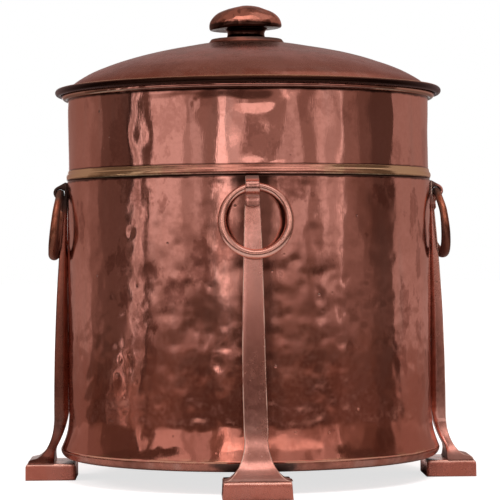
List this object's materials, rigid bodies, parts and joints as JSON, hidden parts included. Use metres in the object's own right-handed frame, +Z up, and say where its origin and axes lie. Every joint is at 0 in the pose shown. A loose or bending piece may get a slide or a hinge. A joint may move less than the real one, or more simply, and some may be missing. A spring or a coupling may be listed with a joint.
{
  "type": "coal scuttle",
  "caption": "Round hammered copper coal bin with a domed lift-off lid and knob, forged legs on block feet and a drop ring hanging from the eye of each leg.",
  "frame": {"origin": "on the floor under the middle of the drum", "axes": "+Z up the axis of the drum, -Y towards the front leg, +X towards the right leg"},
  "size_m": [0.423, 0.423, 0.4468],
  "materials": {
    "drum_copper": "hammered, aged polish",
    "collar_copper": "planished, aged polish",
    "lid_copper": "hammered, aged, part polished",
    "knob_copper": "hammered facets, aged polish",
    "leg_copper": "forged, aged polish",
    "foot_copper": "cast, filed and polished",
    "ring_copper": "forged, aged polish",
    "belt_brass": "drawn moulding, tarnished",
    "wire_steel": "plain wire",
    "screw_brass": "turned",
    "screw_steel": "turned, plain"
  },
  "bodies": {
    "bin": {"base_pan": "drum_copper", "lower_drum": "drum_copper", "belt_moulding": "belt_brass", "upper_collar": "collar_copper", "rim_wire": "wire_steel", "leg_front": "leg_copper", "leg_right": "leg_copper", "leg_back": "leg_copper", "leg_left": "leg_copper", "foot_front": "foot_copper", "foot_right": "foot_copper", "foot_back": "foot_copper", "foot_left": "foot_copper", "leg_screws": "screw_brass", "foot_screws": "screw_steel"},
    "ring_front": {"ring_front": "ring_copper"},
    "ring_right": {"ring_right": "ring_copper"},
    "ring_back": {"ring_back": "ring_copper"},
    "ring_left": {"ring_left": "ring_copper"},
    "lid": {"lid_dome": "lid_copper", "lid_wire": "wire_steel", "lid_locating_ring": "collar_copper", "knob_plate": "knob_copper", "knob_neck": "knob_copper", "knob_cap": "knob_copper", "knob_stud": "screw_steel", "knob_washer": "screw_steel", "knob_nut": "screw_steel"}
  },
  "joints": [
    {"name": "lid_lift", "type": "slide", "parent": "bin", "child": "lid", "axis": [0, 0, 1], "range_m": [0, 0.2]},
    {"name": "ring_front_swing", "type": "hinge", "parent": "bin", "child": "ring_front", "pos_m": [0, -0.17844, 0.26981], "axis": [-1, 0, 0], "range_deg": [0, 176]},
    {"name": "ring_right_swing", "type": "hinge", "parent": "bin", "child": "ring_right", "pos_m": [0.17844, 0, 0.26981], "axis": [0, -1, 0], "range_deg": [0, 176]},
    {"name": "ring_back_swing", "type": "hinge", "parent": "bin", "child": "ring_back", "pos_m": [0, 0.17844, 0.26981], "axis": [1, 0, 0], "range_deg": [0, 176]},
    {"name": "ring_left_swing", "type": "hinge", "parent": "bin", "child": "ring_left", "pos_m": [-0.17844, 0, 0.26981], "axis": [0, 1, 0], "range_deg": [0, 176]}
  ]
}
